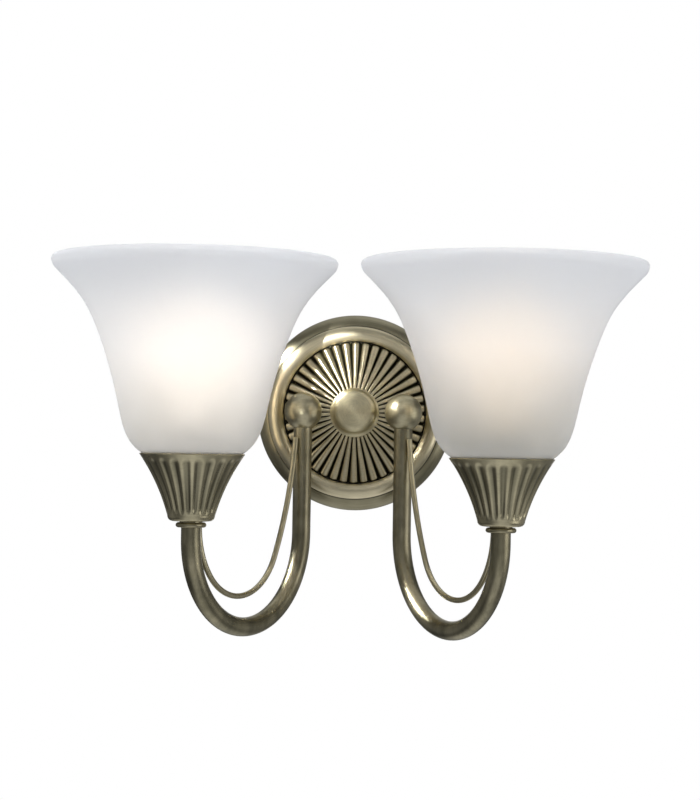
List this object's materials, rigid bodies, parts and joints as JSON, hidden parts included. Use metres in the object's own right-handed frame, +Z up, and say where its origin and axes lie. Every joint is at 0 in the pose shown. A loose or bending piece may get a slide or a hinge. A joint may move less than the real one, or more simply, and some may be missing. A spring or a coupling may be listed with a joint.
{
  "type": "double arm wall sconce",
  "caption": "Wall light: a round fluted backplate carries hooked arms with fluted cups and upright frosted glass bell shades over bayonet lamps.",
  "frame": {"origin": "centre of the backplate's wall face, on the wall plane", "axes": "+Z up the wall, +X to the right seen from the room, +Y into the wall"},
  "size_m": [0.3322, 0.2036, 0.215],
  "materials": {
    "antique_brass": "brushed antique brass, darkened and lacquered",
    "plain_brass": "plain turned brass",
    "zinc_steel": "zinc plated",
    "white_plastic": "moulded, matt",
    "holder_moulding": "thermoset moulding",
    "rubber_gasket": "soft silicone",
    "frosted_glass": "acid-etched, satin",
    "lamp_envelope": "white-coated inside",
    "clear_glass": "clear",
    "lamp_metal": "plain",
    "lamp_vitrite": "black glass",
    "tungsten": "drawn wire"
  },
  "bodies": {
    "fixture": {"wall_bracket": "zinc_steel", "bracket_stud": "zinc_steel", "backplate": "antique_brass", "centre_boss": "antique_brass", "terminal_block": "white_plastic", "terminal_screws": "plain_brass", "block_screws": "zinc_steel", "earth_washer": "plain_brass", "earth_screw": "plain_brass", "nipple_nuts": "zinc_steel", "nipple_washers": "zinc_steel", "cup_nuts": "zinc_steel", "shade_gaskets": "rubber_gasket", "left_arm_spacer": "antique_brass", "left_arm_nipple": "zinc_steel", "left_arm_ball": "antique_brass", "left_arm_tube": "antique_brass", "left_scroll_rod": "antique_brass", "left_collar": "antique_brass", "left_cup": "antique_brass", "left_holder_cap": "plain_brass", "left_holder_core": "holder_moulding", "left_holder_terminals": "plain_brass", "left_holder_barrel": "plain_brass", "left_holder_skirt": "plain_brass", "left_shade": "frosted_glass", "left_shade_ring": "white_plastic", "right_arm_spacer": "antique_brass", "right_arm_nipple": "zinc_steel", "right_arm_ball": "antique_brass", "right_arm_tube": "antique_brass", "right_scroll_rod": "antique_brass", "right_collar": "antique_brass", "right_cup": "antique_brass", "right_holder_cap": "plain_brass", "right_holder_core": "holder_moulding", "right_holder_terminals": "plain_brass", "right_holder_barrel": "plain_brass", "right_holder_skirt": "plain_brass", "right_shade": "frosted_glass", "right_shade_ring": "white_plastic"},
    "left_plungers": {"left_plungers": "plain_brass", "left_plunger_springs": "zinc_steel"},
    "left_lamp": {"left_lamp_cap": "lamp_metal", "left_lamp_insulator": "lamp_vitrite", "left_lamp_contacts": "lamp_metal", "left_lamp_glass": "lamp_envelope", "left_lamp_stem": "clear_glass", "left_lamp_filament": "tungsten"},
    "right_plungers": {"right_plungers": "plain_brass", "right_plunger_springs": "zinc_steel"},
    "right_lamp": {"right_lamp_cap": "lamp_metal", "right_lamp_insulator": "lamp_vitrite", "right_lamp_contacts": "lamp_metal", "right_lamp_glass": "lamp_envelope", "right_lamp_stem": "clear_glass", "right_lamp_filament": "tungsten"}
  },
  "joints": [
    {"name": "left_plunger_push", "type": "slide", "parent": "fixture", "child": "left_plungers", "axis": [0, 0, -1], "range_m": [0, 0.0025], "stiffness_N_per_m": 2000, "springref_m": -0.003, "deforming": ["left_plunger_springs"]},
    {"name": "left_lamp_twist", "type": "hinge", "parent": "left_plungers", "child": "left_lamp", "pos_m": [-0.08623, -0.1238, -0.0274], "axis": [0, 0, 1], "range_deg": [0, 20]},
    {"name": "right_plunger_push", "type": "slide", "parent": "fixture", "child": "right_plungers", "axis": [0, 0, -1], "range_m": [0, 0.0025], "stiffness_N_per_m": 2000, "springref_m": -0.003, "deforming": ["right_plunger_springs"]},
    {"name": "right_lamp_twist", "type": "hinge", "parent": "right_plungers", "child": "right_lamp", "pos_m": [0.08623, -0.1238, -0.0274], "axis": [0, 0, 1], "range_deg": [0, 20]}
  ]
}
